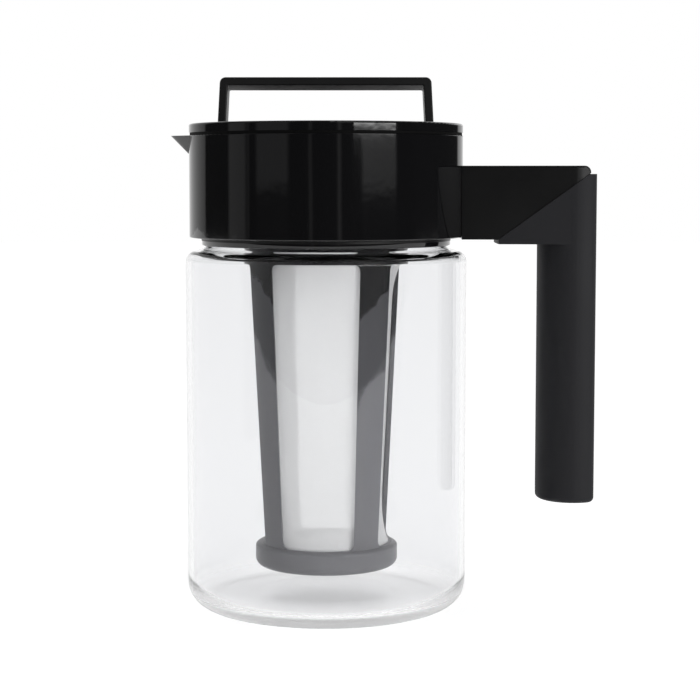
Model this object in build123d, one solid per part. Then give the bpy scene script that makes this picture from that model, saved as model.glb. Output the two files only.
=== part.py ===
from build123d import *
import math
import os

# Cold brew pitcher in millimetres. +Z is up, the spout points to -X and the handle to +X.
# The origin is the centre of the jar's base, on the surface that the jar stands on.

# Fits shared by many pieces
SNUG = 0.1              # between pieces that stay together
RUNNING = 0.05          # radial gap of a pivot in its socket
LOOSE = 0.3             # between pieces that move past each other
EMBED = 0.5             # how far the root of a rib or boss runs into the wall that carries it

# Jar
JAR_RADIUS = 53.5
JAR_WALL = 2.2
JAR_FLOOR = 4.4
JAR_BASE_ROUND = 10.0
JAR_SHOULDER_Z = 135.6
SHOULDER_SLOPE = 15.0
SHOULDER_ROUND = 4.0
SHOULDER_WIDTH = 8.2    # from the body in to the neck
NECK_WALL = 2.4
NECK_ROUND = 2.5
NECK_LENGTH = 22.7
SNAP_BEAD_REACH = 0.9
SNAP_BEAD_HEIGHT = 2.4
SNAP_BEAD_DROP = 10.5   # below the neck's top
PUNT_RADIUS = 26.0      # the pushed-up middle of the base
PUNT_RISE = 1.5
PUNT_SLOPE_WIDTH = 3.0
GATE_RADIUS = 2.5
GATE_HEIGHT = 0.5

# Neck gasket
NECK_GASKET_THICKNESS = 1.0

# Ring inside the collar, which snaps over the jar's neck
SLEEVE_WALL = 2.0
SLEEVE_DROP = 1.2       # the sleeve's foot shows this much below the collar's lower edge
RING_RIB_SETBACK = 1.0  # the ribs stop this much short of that edge
RING_FLANGE_THICKNESS = 1.6
RING_RIB_COUNT = 12
RING_RIB_THICKNESS = 1.2

# Collar
COLLAR_WALL = 2.0
COLLAR_HEIGHT = 38.3
COLLAR_GAP = 3.7        # from the foot of the neck to the collar's lower edge
SKIRT_GAP = 2.6         # between the sleeve round the neck and the collar's outer wall
DECK_THICKNESS = 2.0
THROAT_GAP = 0.4
THROAT_WALL = 1.5
THROAT_DEPTH = 11.5
COLLAR_EDGE_ROUND = 0.4

# Bayonet between lid and collar
LUG_COUNT = 3
LUG_HALF_ANGLE = 11.0
LUG_HEIGHT = 2.5
LUG_RAISE = 0.5         # lower face of a lug above the underside of the lid cover
LUG_FIRST_ANGLE = 60.0
RAMP_HALF_ANGLE = 30.0
RAMP_THICKNESS = 2.0
RAMP_LEAD = 1.0
RAMP_REACH = 2.8
STOP_ANGLE = 3.5

# Spout
SPOUT_REACH = 7.0       # beyond the collar
SPOUT_HALF_WIDTH = 9.5
SPOUT_DEPTH = 7.0       # at the collar, below its top edge
SPOUT_WALL = 1.3

# Rail that carries the handle
RAIL_NECK_HALF_WIDTH = 4.0
RAIL_NECK_REACH = 3.5
RAIL_HEAD_HALF_WIDTH = 7.0
RAIL_HEAD_THICKNESS = 4.5
RAIL_BOTTOM_RISE = 2.0
RAIL_HEIGHT = 14.5

# Handle
ARM_DROP = 0.7          # the arm's underside hangs below the collar's edge
ARM_HEIGHT = 27.7
ARM_ROOT_HALF_DEPTH = 9.5
ARM_END_ROUND = 2.5
ARM_EDGE_ROUND = 0.8
FINGER_GAP = 27.0
GRIP_THICKNESS = 21.3
GRIP_HALF_DEPTH = 15.0
GRIP_NOSE_LENGTH = 13.5
GRIP_CORNER_ROUND = 4.0
GRIP_LENGTH = 124.4
GRIP_TOP_DROP = 3.1     # the sleeve's top edge below the arm's top
GRIP_END_ROUND = 2.0
GRIP_WALL = 2.5
GRIP_PROUD = 0.7
GRIP_UNDER = 1.7        # the sleeve's underside below the arm's
SEAM_START = 11.4       # where the slanted seam leaves the arm's underside, from the jar's wall
SEAM_SLOPE = 36.0

# Handle screw
SCREW_RADIUS = 1.45
SCREW_PILOT_RADIUS = 1.5
SCREW_CLEARANCE_RADIUS = 1.65
SCREW_HEAD_RADIUS = 2.8
SCREW_HEAD_HEIGHT = 1.8
SCREW_HEAD_CHAMFER = 0.8
SCREW_BITE = 7.5        # length in the arm

# Lid
RIM_SEAL_THICKNESS = 1.0
RIM_SEAL_WIDTH = 3.0
RIM_SEAL_INSET = 0.4
RIM_THICKNESS = 3.4
RIM_EDGE_ROUND = 0.8
WELL_GAP = 3.7          # between the well's outside and the collar's inside
WELL_WALL = 2.0
WELL_DEPTH = 13.5
WELL_FLOOR = 2.0
WELL_EDGE_ROUND = 1.0
WELL_CORNER_ROUND = 0.8

# Lid plug
PLUG_GASKET_THICKNESS = 1.5
PLUG_GASKET_INSET = 0.4
PLUG_GAP = 1.4          # between the throat and the plug's tube, where the coffee pours
PLUG_WALL = 2.0
PLUG_ROOF = 2.0
PLUG_TUBE_DEPTH = 13.0  # below the deck's top
PLUG_WEB_COUNT = 6
PLUG_WEB_THICKNESS = 1.6
PLUG_WEB_RISE = 1.5
HUB_RADIUS = 29.6
HUB_WALL = 2.0
HUB_LENGTH = 27.4

# Bail
BAIL_INSET = 4.8        # from the well's wall in to the top corner of the bail
BAIL_SPREAD = 1.15      # each leg splays this much towards its foot
BAIL_HEIGHT = 23.4      # from the pivot to the top of the bar
BAIL_STRAP_WIDTH = 13.0
BAIL_STRAP_THICKNESS = 3.05
BAIL_CORNER_ROUND = 2.2
BAIL_EDGE_ROUND = 0.5
BAIL_LEAN = 6.5         # degrees back from upright, as it stands
PIVOT_FORWARD = 6.0     # the pivot line is this far towards -Y
PIVOT_DROP = 6.7        # and this far below the lid's top
PIVOT_RADIUS = 2.0
PIVOT_BOSS_RADIUS = 4.2
PIVOT_REACH = 2.3

# Filter
FILTER_GASKET_THICKNESS = 2.0
FILTER_GASKET_INSET = 0.3
SOCKET_WALL = 1.6
SOCKET_DEPTH = 8.7      # length of hub inside the socket
SOCKET_LEDGE = 2.0
SOCKET_SKIRT = 1.3
HUB_LUG_HALF_ANGLE = 5.0
HUB_LUG_HEIGHT = 2.4
HUB_LUG_REACH = 1.5
HUB_LUG_RAISE = 3.5     # above the hub's lower edge
HUB_LUG_FIRST_ANGLE = 30.0
TWIST_ANGLE = 30.0
FILTER_FOOT_GAP = 9.6   # between the jar's pushed-up floor and the filter's foot
FRAME_STEP = 0.1        # the frame's top is this much smaller than its socket
FRAME_FOOT_RADIUS = 25.3
FRAME_WALL = 1.3
BAND_HEIGHT = 3.5       # solid band over the windows
BUMPER_HEIGHT = 9.0
BUMPER_PROUD = 2.0
BUMPER_ROUND = 3.0
BUMPER_TOP_ROUND = 1.2
BUMPER_SLOPE = 1.0
BUMPER_BORE = 21.5
WINDOW_COUNT = 4
WINDOW_HALF_ANGLE = 32.0
WINDOW_ROUND = 3.0
RIB_FIRST_ANGLE = 37.4
MESH_THICKNESS = 0.5
MESH_LAP = 1.5
MESH_BULGE = 0.3
MESH_STATIONS = 9
MESH_TENSION = 6        # how sharply the mesh goes from round ends to flat sides
FLOOR_THICKNESS = 2.0
FLOOR_RING_COUNT = 3
FLOOR_RING_WIDTH = 1.0
FLOOR_RING_HEIGHT = 0.6

# Heights worked out from the sizes above
slope_rise = math.tan(math.radians(SHOULDER_SLOPE))
neck_foot_z = JAR_SHOULDER_Z + SHOULDER_WIDTH * slope_rise
neck_top_z = neck_foot_z + NECK_LENGTH
deck_bottom_z = neck_top_z + NECK_GASKET_THICKNESS
deck_top_z = deck_bottom_z + DECK_THICKNESS
collar_bottom_z = neck_foot_z + COLLAR_GAP
collar_top_z = collar_bottom_z + COLLAR_HEIGHT
rim_bottom_z = collar_top_z + RIM_SEAL_THICKNESS
lid_top_z = rim_bottom_z + RIM_THICKNESS
well_floor_z = lid_top_z - WELL_DEPTH
cover_bottom_z = well_floor_z - WELL_FLOOR
step_bottom_z = deck_top_z + PLUG_GASKET_THICKNESS
plug_tube_bottom_z = deck_top_z - PLUG_TUBE_DEPTH
hub_bottom_z = cover_bottom_z - HUB_LENGTH
hub_lug_z = hub_bottom_z + HUB_LUG_RAISE
ledge_top_z = hub_bottom_z - FILTER_GASKET_THICKNESS
socket_top_z = hub_bottom_z + SOCKET_DEPTH
frame_top_z = ledge_top_z - SOCKET_LEDGE - SOCKET_SKIRT
frame_bottom_z = JAR_FLOOR + PUNT_RISE + FILTER_FOOT_GAP
window_top_z = frame_top_z - BAND_HEIGHT
window_bottom_z = frame_bottom_z + BUMPER_HEIGHT
arm_bottom_z = collar_bottom_z - ARM_DROP
arm_top_z = arm_bottom_z + ARM_HEIGHT
grip_top_z = arm_top_z - GRIP_TOP_DROP
grip_bottom_z = grip_top_z - GRIP_LENGTH
grip_under_z = arm_bottom_z - GRIP_UNDER
rail_bottom_z = arm_bottom_z + RAIL_BOTTOM_RISE + ARM_DROP
rail_top_z = rail_bottom_z + RAIL_HEIGHT
pivot_z = lid_top_z - PIVOT_DROP
lug_bottom_z = cover_bottom_z + LUG_RAISE
lug_top_z = lug_bottom_z + LUG_HEIGHT
ramp_bottom_z = lug_top_z + LOOSE
ramp_top_z = ramp_bottom_z + RAMP_THICKNESS

# Radii and places worked out from the sizes above
neck_radius = JAR_RADIUS - SHOULDER_WIDTH
neck_inner_radius = neck_radius - NECK_WALL
sleeve_inner_radius = neck_radius + SNUG
sleeve_outer_radius = sleeve_inner_radius + SLEEVE_WALL
skirt_inner_radius = sleeve_outer_radius + SKIRT_GAP
collar_radius = skirt_inner_radius + COLLAR_WALL
throat_outer_radius = neck_inner_radius - THROAT_GAP
throat_inner_radius = throat_outer_radius - THROAT_WALL
ramp_inner_radius = skirt_inner_radius - RAMP_REACH
well_outer_radius = skirt_inner_radius - WELL_GAP
well_radius = well_outer_radius - WELL_WALL
lug_outer_radius = skirt_inner_radius - LOOSE
plug_tube_radius = throat_inner_radius - PLUG_GAP
hub_inner_radius = HUB_RADIUS - HUB_WALL
socket_inner_radius = HUB_RADIUS + LOOSE
socket_outer_radius = socket_inner_radius + SOCKET_WALL
frame_top_radius = socket_outer_radius - FRAME_STEP
frame_slope = (frame_top_radius - FRAME_FOOT_RADIUS) / (frame_top_z - window_bottom_z)
floor_radius = FRAME_FOOT_RADIUS - FRAME_WALL
grip_inner_x = JAR_RADIUS + FINGER_GAP
grip_outer_x = grip_inner_x + GRIP_THICKNESS
grip_centre_x = grip_inner_x + GRIP_NOSE_LENGTH
seam_start_x = JAR_RADIUS + SEAM_START
rail_face_x = collar_radius + RAIL_NECK_REACH
rail_end_x = rail_face_x + RAIL_HEAD_THICKNESS
screw_x = rail_face_x + RAIL_HEAD_THICKNESS / 3
bail_half_width = well_radius - BAIL_INSET
bail_foot_half_width = bail_half_width + BAIL_SPREAD
pivot_boss_x = bail_foot_half_width + LOOSE
pivot_end_x = pivot_boss_x + PIVOT_REACH


def revolved(corners):
    """A solid of revolution about Z from corners of (radius, height, corner round)."""
    points = [(radius, height) for radius, height, _ in corners]
    rounds = [corner_round for _, _, corner_round in corners]
    outline = FilletPolyline(*points, radius=rounds, close=True)
    return revolve(Plane.XZ * make_face(outline.edges()), axis=Axis.Z)


def ring(inner_radius, outer_radius, bottom_z, top_z, edge_round=0.0):
    """A flat ring about Z."""
    return revolved([
        (inner_radius, bottom_z, edge_round),
        (outer_radius, bottom_z, edge_round),
        (outer_radius, top_z, edge_round),
        (inner_radius, top_z, edge_round),
    ])


def ring_sector(inner_radius, outer_radius, bottom_z, top_z, middle_angle, half_angle):
    """A part of a ring, half_angle degrees each side of middle_angle."""
    centre_radius = (inner_radius + outer_radius) / 2
    section = Pos(centre_radius, (bottom_z + top_z) / 2) * Rectangle(
        outer_radius - inner_radius, top_z - bottom_z)
    sector = revolve(Plane.XZ * section, axis=Axis.Z, revolution_arc=2 * half_angle)
    return Rot(0, 0, middle_angle - half_angle) * sector


def prism(sketch, bottom_z, top_z):
    """A plan outline carried up from bottom_z to top_z."""
    return extrude(Pos(0, 0, bottom_z) * sketch, amount=top_z - bottom_z)


def side_prism(points, half_depth):
    """An outline in the XZ plane, half_depth thick each way along Y."""
    outline = make_face(Polyline(*points, close=True).edges())
    return extrude(Plane.XZ * outline, amount=half_depth, both=True)


def cylinder_along_x(radius, start_x, end_x, y, z):
    """A round bar along X."""
    bar = Cylinder(radius, abs(end_x - start_x))
    return Pos((start_x + end_x) / 2, y, z) * Rot(0, 90, 0) * bar


def frame_radius(z):
    """Outer radius of the conical filter frame at height z."""
    return FRAME_FOOT_RADIUS + (z - window_bottom_z) * frame_slope


def jar_inner_slope_z(radius):
    """Height of the shoulder's inner face at a radius."""
    outer_face_z = JAR_SHOULDER_Z + (JAR_RADIUS - radius) * slope_rise
    return outer_face_z - JAR_WALL / math.cos(math.radians(SHOULDER_SLOPE))


def snap_bead(radius):
    """Corners of the bead round the neck, or of its groove at a larger radius, going up."""
    middle_z = neck_top_z - SNAP_BEAD_DROP
    return [
        (radius, middle_z - SNAP_BEAD_HEIGHT / 2, 0),
        (radius + SNAP_BEAD_REACH, middle_z, 0),
        (radius, middle_z + SNAP_BEAD_HEIGHT / 2, 0),
    ]


def make_jar():
    """Clear jar: pushed-up base, straight body, sloped shoulder and a neck with a snap bead."""
    inner_radius = JAR_RADIUS - JAR_WALL
    punt_foot_radius = PUNT_RADIUS + PUNT_SLOPE_WIDTH
    jar = revolved([
        (0, PUNT_RISE, 0),
        (PUNT_RADIUS, PUNT_RISE, 0),
        (punt_foot_radius, 0, 0),
        (JAR_RADIUS, 0, JAR_BASE_ROUND),
        (JAR_RADIUS, JAR_SHOULDER_Z, SHOULDER_ROUND),
        (neck_radius, neck_foot_z, NECK_ROUND),
        *snap_bead(neck_radius),
        (neck_radius, neck_top_z, 0),
        (neck_inner_radius, neck_top_z, 0),
        (neck_inner_radius, jar_inner_slope_z(neck_inner_radius), NECK_ROUND + JAR_WALL),
        (inner_radius, jar_inner_slope_z(inner_radius), SHOULDER_ROUND - JAR_WALL),
        (inner_radius, JAR_FLOOR, JAR_BASE_ROUND - JAR_WALL),
        (PUNT_RADIUS, JAR_FLOOR, 0),
        (PUNT_RADIUS - PUNT_SLOPE_WIDTH, JAR_FLOOR + PUNT_RISE, 0),
        (0, JAR_FLOOR + PUNT_RISE, 0),
    ])
    gate = Pos(0, 0, PUNT_RISE - GATE_HEIGHT / 2) * Cylinder(GATE_RADIUS, GATE_HEIGHT)
    return jar + gate


def make_neck_gasket():
    """Flat ring squeezed between the jar's mouth and the collar's deck."""
    return ring(throat_outer_radius + SNUG, neck_radius, neck_top_z, deck_bottom_z)


def make_neck_ring():
    """Ring inside the collar: a sleeve that snaps over the neck, a top flange and radial ribs."""
    sleeve_bottom_z = collar_bottom_z - SLEEVE_DROP
    rib_bottom_z = collar_bottom_z + RING_RIB_SETBACK
    flange_bottom_z = deck_bottom_z - RING_FLANGE_THICKNESS
    outer_radius = skirt_inner_radius - SNUG
    neck_ring = revolved([
        (sleeve_inner_radius, deck_bottom_z, 0),
        *reversed(snap_bead(sleeve_inner_radius)),
        (sleeve_inner_radius, sleeve_bottom_z, 0),
        (sleeve_outer_radius, sleeve_bottom_z, 0),
        (sleeve_outer_radius, flange_bottom_z, 0),
        (outer_radius, flange_bottom_z, 0),
        (outer_radius, deck_bottom_z, 0),
    ])
    rib_half_angle = math.degrees(RING_RIB_THICKNESS / 2 / outer_radius)
    for index in range(RING_RIB_COUNT):
        neck_ring += ring_sector(sleeve_outer_radius - EMBED, outer_radius - SNUG, rib_bottom_z,
                                 flange_bottom_z + EMBED, (index + 0.5) * 360 / RING_RIB_COUNT,
                                 rib_half_angle)
    return neck_ring


def collar_shell():
    """Skirt, deck and throat in one turned outline."""
    throat_bottom_z = deck_bottom_z - THROAT_DEPTH
    return revolved([
        (collar_radius, collar_bottom_z, COLLAR_EDGE_ROUND),
        (collar_radius, collar_top_z, COLLAR_EDGE_ROUND),
        (skirt_inner_radius, collar_top_z, 0),
        (skirt_inner_radius, deck_top_z, 0),
        (throat_inner_radius, deck_top_z, 0),
        (throat_inner_radius, throat_bottom_z, 0),
        (throat_outer_radius, throat_bottom_z, 0),
        (throat_outer_radius, deck_bottom_z, 0),
        (skirt_inner_radius, deck_bottom_z, 0),
        (skirt_inner_radius, collar_bottom_z, 0),
    ])


def bayonet_ramp():
    """One ramp about +X, sloped where a lug enters, with a stop at its far end."""
    embedded_radius = skirt_inner_radius + EMBED
    ramp = ring_sector(ramp_inner_radius, embedded_radius, ramp_bottom_z, ramp_top_z,
                       0, RAMP_HALF_ANGLE)
    under_edges = ramp.faces().sort_by(Axis.Z)[0].edges().filter_by(GeomType.LINE)
    ramp = chamfer(under_edges.sort_by(Axis.Y)[-1], RAMP_LEAD)
    stop = ring_sector(ramp_inner_radius, embedded_radius, lug_bottom_z, ramp_bottom_z + EMBED,
                       STOP_ANGLE / 2 - RAMP_HALF_ANGLE, STOP_ANGLE / 2)
    return ramp + stop


def spout_wedge(wall):
    """The beak's wedge, or its channel when wall is more than zero."""
    root_x = -skirt_inner_radius + EMBED + wall
    face_x = -collar_radius
    tip_x = face_x - SPOUT_REACH
    plan_tip_x = tip_x + 2 * wall
    half_width = SPOUT_HALF_WIDTH - wall
    plan = make_face(Polyline(
        (root_x, -half_width), (face_x, -half_width), (plan_tip_x, 0), (face_x, half_width),
        (root_x, half_width), close=True).edges())
    top_z = collar_top_z + wall
    bottom_z = top_z - SPOUT_DEPTH
    side = side_prism([(root_x, bottom_z), (face_x, bottom_z), (tip_x, top_z), (root_x, top_z)],
                      SPOUT_HALF_WIDTH)
    return prism(plan, bottom_z, top_z) & side


def rail(clearance, bottom_z, top_z):
    """The T-shaped rail for the handle, or its slot when clearance is more than zero."""
    neck_start_x = collar_radius - EMBED
    neck_half = RAIL_NECK_HALF_WIDTH + clearance
    head_half = RAIL_HEAD_HALF_WIDTH + clearance
    head_start_x = rail_face_x - clearance
    end_x = rail_end_x + clearance
    plan = make_face(Polyline(
        (neck_start_x, -neck_half), (head_start_x, -neck_half), (head_start_x, -head_half),
        (end_x, -head_half), (end_x, head_half), (head_start_x, head_half),
        (head_start_x, neck_half), (neck_start_x, neck_half), close=True).edges())
    return prism(plan, bottom_z, top_z)


def make_collar():
    """Collar with a deck and throat, bayonet ramps, spout beak and handle rail."""
    collar = collar_shell()
    for index in range(LUG_COUNT):
        collar += Rot(0, 0, index * 360 / LUG_COUNT) * bayonet_ramp()
    bore = Pos(0, 0, collar_top_z) * Cylinder(skirt_inner_radius, COLLAR_HEIGHT)
    collar += spout_wedge(0) - bore
    collar -= spout_wedge(SPOUT_WALL)
    collar += rail(0, rail_bottom_z, rail_top_z)
    screw_hole = Pos(screw_x, 0, (rail_bottom_z + rail_top_z) / 2) * Cylinder(
        SCREW_CLEARANCE_RADIUS, RAIL_HEIGHT)
    return collar - screw_hole


def grip_plan(inset):
    """Section of the upright grip: an ellipse clipped flat on its outer side."""
    half_depth = GRIP_HALF_DEPTH - inset
    clip_x = grip_outer_x - inset
    oval = Pos(grip_centre_x, 0) * Ellipse(GRIP_NOSE_LENGTH - inset, half_depth)
    keep_width = GRIP_THICKNESS
    keep = Pos(clip_x - keep_width / 2, 0) * Rectangle(keep_width, GRIP_HALF_DEPTH * 2)
    section = oval & keep
    outer_corners = section.vertices().filter_by_position(Axis.X, clip_x - SNUG, clip_x + SNUG)
    return fillet(outer_corners, GRIP_CORNER_ROUND - inset / 2)


def handle_plan(inset):
    """Plan of the arm, which flares into the grip's section."""
    root_x = collar_radius - COLLAR_WALL * 3
    root_half = ARM_ROOT_HALF_DEPTH + GRIP_PROUD - inset
    end_half = GRIP_HALF_DEPTH - inset
    taper = make_face(Polyline(
        (root_x, -root_half), (grip_centre_x, -end_half), (grip_centre_x, end_half),
        (root_x, root_half), close=True).edges())
    return taper + grip_plan(inset)


def over_seam():
    """The space above the slanted seam between the arm and its sleeve."""
    reach = grip_outer_x
    rise = math.tan(math.radians(SEAM_SLOPE))
    low = (seam_start_x - reach, arm_bottom_z - reach * rise)
    high = (seam_start_x + reach, arm_bottom_z + reach * rise)
    return side_prism([low, high, (low[0], high[1])], GRIP_HALF_DEPTH * 2)


def grip_block(inset, under_z, top_z, bottom_z):
    """The sleeve's outer block, or the core inside it when inset is more than zero."""
    head = prism(handle_plan(inset), under_z, top_z)
    upright = prism(grip_plan(inset), bottom_z, top_z)
    before_seam = Pos(seam_start_x - JAR_RADIUS, 0, under_z) * Box(
        JAR_RADIUS * 2, GRIP_HALF_DEPTH * 2, ARM_HEIGHT)
    return (head + upright) - over_seam() - before_seam


def arm_side():
    """Side outline of the arm, rounded at its upper end."""
    end_x = grip_outer_x - GRIP_WALL
    outline = FilletPolyline(
        (0, arm_bottom_z), (end_x, arm_bottom_z), (end_x, arm_top_z), (0, arm_top_z),
        radius=[0, 0, ARM_END_ROUND, 0], close=True)
    return extrude(Plane.XZ * make_face(outline.edges()), amount=GRIP_HALF_DEPTH, both=True)


def make_handle_core():
    """Arm with a slot for the collar's rail, and the core that the sleeve goes over."""
    arm = prism(handle_plan(GRIP_PROUD), arm_bottom_z, arm_top_z) & arm_side()
    for face in (arm.faces().sort_by(Axis.Z)[0], arm.faces().sort_by(Axis.Z)[-1]):
        long_edges = [edge for edge in face.edges() if edge.bounding_box().size.X > ARM_EDGE_ROUND]
        arm = fillet(long_edges, ARM_EDGE_ROUND)
    arm = arm & over_seam()
    core = grip_block(GRIP_WALL, grip_under_z + GRIP_WALL, grip_top_z - GRIP_WALL,
                      grip_bottom_z + GRIP_WALL)
    handle = arm + core
    collar_space = Pos(0, 0, arm_top_z) * Cylinder(collar_radius + SNUG, ARM_HEIGHT * 4)
    handle -= collar_space
    handle -= rail(SNUG, arm_bottom_z - ARM_DROP, rail_top_z + SNUG)
    pilot_top_z = rail_top_z + SCREW_BITE + SNUG
    pilot = Pos(screw_x, 0, (rail_top_z + pilot_top_z) / 2) * Cylinder(
        SCREW_PILOT_RADIUS, pilot_top_z - rail_top_z)
    return handle - pilot


def make_grip_sleeve():
    """Soft sleeve, slanted where it meets the arm, closed and rounded at its lower end."""
    block = grip_block(0, grip_under_z, grip_top_z, grip_bottom_z)
    block = fillet(block.faces().sort_by(Axis.Z)[0].edges(), GRIP_END_ROUND)
    wall = GRIP_WALL - SNUG
    cavity = grip_block(wall, grip_under_z + wall, grip_top_z - wall, grip_bottom_z + wall)
    return block - cavity


def make_handle_screw():
    """Pan-head screw, up through the rail into the arm."""
    shank_top_z = rail_top_z + SCREW_BITE
    head_bottom_z = rail_bottom_z - SCREW_HEAD_HEIGHT
    return revolved([
        (0, head_bottom_z, 0),
        (SCREW_HEAD_RADIUS - SCREW_HEAD_CHAMFER, head_bottom_z, 0),
        (SCREW_HEAD_RADIUS, head_bottom_z + SCREW_HEAD_CHAMFER, 0),
        (SCREW_HEAD_RADIUS, rail_bottom_z, 0),
        (SCREW_RADIUS, rail_bottom_z, 0),
        (SCREW_RADIUS, shank_top_z - SCREW_RADIUS, 0),
        (0, shank_top_z, 0),
    ]).moved(Location((screw_x, 0, 0)))


def make_rim_seal():
    """Thin ring on the collar's top edge, under the lid's rim."""
    outer_radius = collar_radius - RIM_SEAL_INSET
    return ring(outer_radius - RIM_SEAL_WIDTH, outer_radius, collar_top_z, rim_bottom_z)


def make_lid_cover():
    """Lid disc with a well for the bail, pivot bosses and bayonet lugs."""
    cover = revolved([
        (0, cover_bottom_z, 0),
        (well_outer_radius, cover_bottom_z, 0),
        (well_outer_radius, rim_bottom_z, 0),
        (collar_radius, rim_bottom_z, 0),
        (collar_radius, lid_top_z, RIM_EDGE_ROUND),
        (well_radius, lid_top_z, WELL_EDGE_ROUND),
        (well_radius, well_floor_z, WELL_CORNER_ROUND),
        (0, well_floor_z, 0),
    ])
    for index in range(LUG_COUNT):
        lug_angle = LUG_FIRST_ANGLE + index * 360 / LUG_COUNT
        cover += ring_sector(well_outer_radius - EMBED, lug_outer_radius, lug_bottom_z,
                             lug_top_z, lug_angle, LUG_HALF_ANGLE)
    body = Pos(0, 0, (cover_bottom_z + lid_top_z) / 2) * Cylinder(
        well_outer_radius - EMBED, lid_top_z - cover_bottom_z)
    for side in (-1, 1):
        boss = cylinder_along_x(PIVOT_BOSS_RADIUS, side * pivot_boss_x, side * well_outer_radius,
                                -PIVOT_FORWARD, pivot_z)
        socket = cylinder_along_x(PIVOT_RADIUS + RUNNING, side * (pivot_boss_x - LOOSE),
                                  side * (pivot_end_x + LOOSE / 2), -PIVOT_FORWARD, pivot_z)
        cover += boss & body
        cover -= socket
    return cover


def make_lid_plug():
    """Step, throat tube and hub under the lid, tied together by webs."""
    tube_inner_radius = plug_tube_radius - PLUG_WALL
    roof_bottom_z = cover_bottom_z - PLUG_ROOF
    plug = revolved([
        (plug_tube_radius, step_bottom_z, 0),
        (well_outer_radius - SNUG, step_bottom_z, 0),
        (well_outer_radius - SNUG, cover_bottom_z, 0),
        (hub_inner_radius, cover_bottom_z, 0),
        (hub_inner_radius, hub_bottom_z, 0),
        (HUB_RADIUS, hub_bottom_z, 0),
        (HUB_RADIUS, roof_bottom_z, 0),
        (tube_inner_radius, roof_bottom_z, 0),
        (tube_inner_radius, plug_tube_bottom_z, 0),
        (plug_tube_radius, plug_tube_bottom_z, 0),
    ])
    web_bottom_z = plug_tube_bottom_z + PLUG_WEB_RISE
    web_outer_radius = tube_inner_radius + EMBED
    web_inner_radius = HUB_RADIUS - EMBED
    web_half_angle = math.degrees(PLUG_WEB_THICKNESS / 2 / web_outer_radius)
    for index in range(PLUG_WEB_COUNT):
        plug += ring_sector(web_inner_radius, web_outer_radius, web_bottom_z,
                            roof_bottom_z + EMBED, index * 360 / PLUG_WEB_COUNT,
                            web_half_angle)
    for index in range(LUG_COUNT):
        lug_angle = HUB_LUG_FIRST_ANGLE + index * 360 / LUG_COUNT
        plug += ring_sector(web_inner_radius, HUB_RADIUS + HUB_LUG_REACH, hub_lug_z,
                            hub_lug_z + HUB_LUG_HEIGHT, lug_angle, HUB_LUG_HALF_ANGLE)
    return plug


def make_plug_gasket():
    """Flat ring that the lid presses on the collar's deck."""
    return ring(throat_inner_radius + PLUG_GASKET_INSET, well_outer_radius - PLUG_GASKET_INSET,
                deck_top_z, step_bottom_z)


def bail_front(inset):
    """Front outline of the bail about its pivot, drawn in by inset on every side."""
    foot_z = -BAIL_STRAP_WIDTH
    splay = BAIL_SPREAD / BAIL_HEIGHT
    top_z = BAIL_HEIGHT - inset
    top_half = bail_half_width + inset * splay - inset
    foot_half = bail_foot_half_width - foot_z * splay - inset
    corner_round = max(BAIL_CORNER_ROUND - inset, BAIL_CORNER_ROUND / 4)
    return make_face(FilletPolyline(
        (-foot_half, foot_z), (-top_half, top_z), (top_half, top_z), (foot_half, foot_z),
        radius=[0, corner_round, corner_round, 0], close=True).edges())


def make_bail():
    """Wide-strap bail with rounded feet and stub pivots, leaning back as it stands."""
    half_strap = BAIL_STRAP_WIDTH / 2
    loop = bail_front(0) - bail_front(BAIL_STRAP_THICKNESS)
    strap = extrude(Plane.XZ * loop, amount=half_strap, both=True)
    span = bail_foot_half_width * 3
    foot = Rot(0, 90, 0) * Cylinder(half_strap, span)
    upper = Pos(0, 0, BAIL_HEIGHT / 2) * Box(span, BAIL_STRAP_WIDTH, BAIL_HEIGHT)
    strap = strap & (foot + upper)
    by_depth = strap.faces().sort_by(Axis.Y)
    strap = fillet(by_depth[0].edges() + by_depth[-1].edges(), BAIL_EDGE_ROUND)
    stub_start_x = bail_foot_half_width - BAIL_STRAP_THICKNESS + EMBED
    for side in (-1, 1):
        strap += cylinder_along_x(PIVOT_RADIUS, side * stub_start_x, side * pivot_end_x, 0, 0)
    return Pos(0, -PIVOT_FORWARD, pivot_z) * Rot(-BAIL_LEAN, 0, 0) * strap


def make_filter_gasket():
    """Ring between the hub's lower edge and the ledge in the filter's socket."""
    return ring(hub_inner_radius + FILTER_GASKET_INSET, HUB_RADIUS, ledge_top_z, hub_bottom_z)


def make_filter_collar():
    """Socket ring over the hub, with an L-shaped slot for each hub lug."""
    bottom_z = frame_top_z
    socket = revolved([
        (hub_inner_radius, bottom_z, 0),
        (socket_outer_radius, bottom_z, 0),
        (socket_outer_radius, socket_top_z, 0),
        (socket_inner_radius, socket_top_z, 0),
        (socket_inner_radius, ledge_top_z, 0),
        (hub_inner_radius, ledge_top_z, 0),
    ])
    slot_half_angle = HUB_LUG_HALF_ANGLE + math.degrees(LOOSE / HUB_RADIUS)
    cut_inner_radius = HUB_RADIUS
    cut_outer_radius = socket_outer_radius + SOCKET_WALL
    slot_bottom_z = hub_lug_z - LOOSE
    slot_top_z = hub_lug_z + HUB_LUG_HEIGHT + LOOSE
    for index in range(LUG_COUNT):
        lug_angle = HUB_LUG_FIRST_ANGLE + index * 360 / LUG_COUNT
        socket -= ring_sector(cut_inner_radius, cut_outer_radius, slot_bottom_z,
                              socket_top_z + LOOSE, lug_angle, slot_half_angle)
        socket -= ring_sector(cut_inner_radius, cut_outer_radius, slot_bottom_z, slot_top_z,
                              lug_angle - TWIST_ANGLE / 2, TWIST_ANGLE / 2 + slot_half_angle)
    return socket


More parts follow.
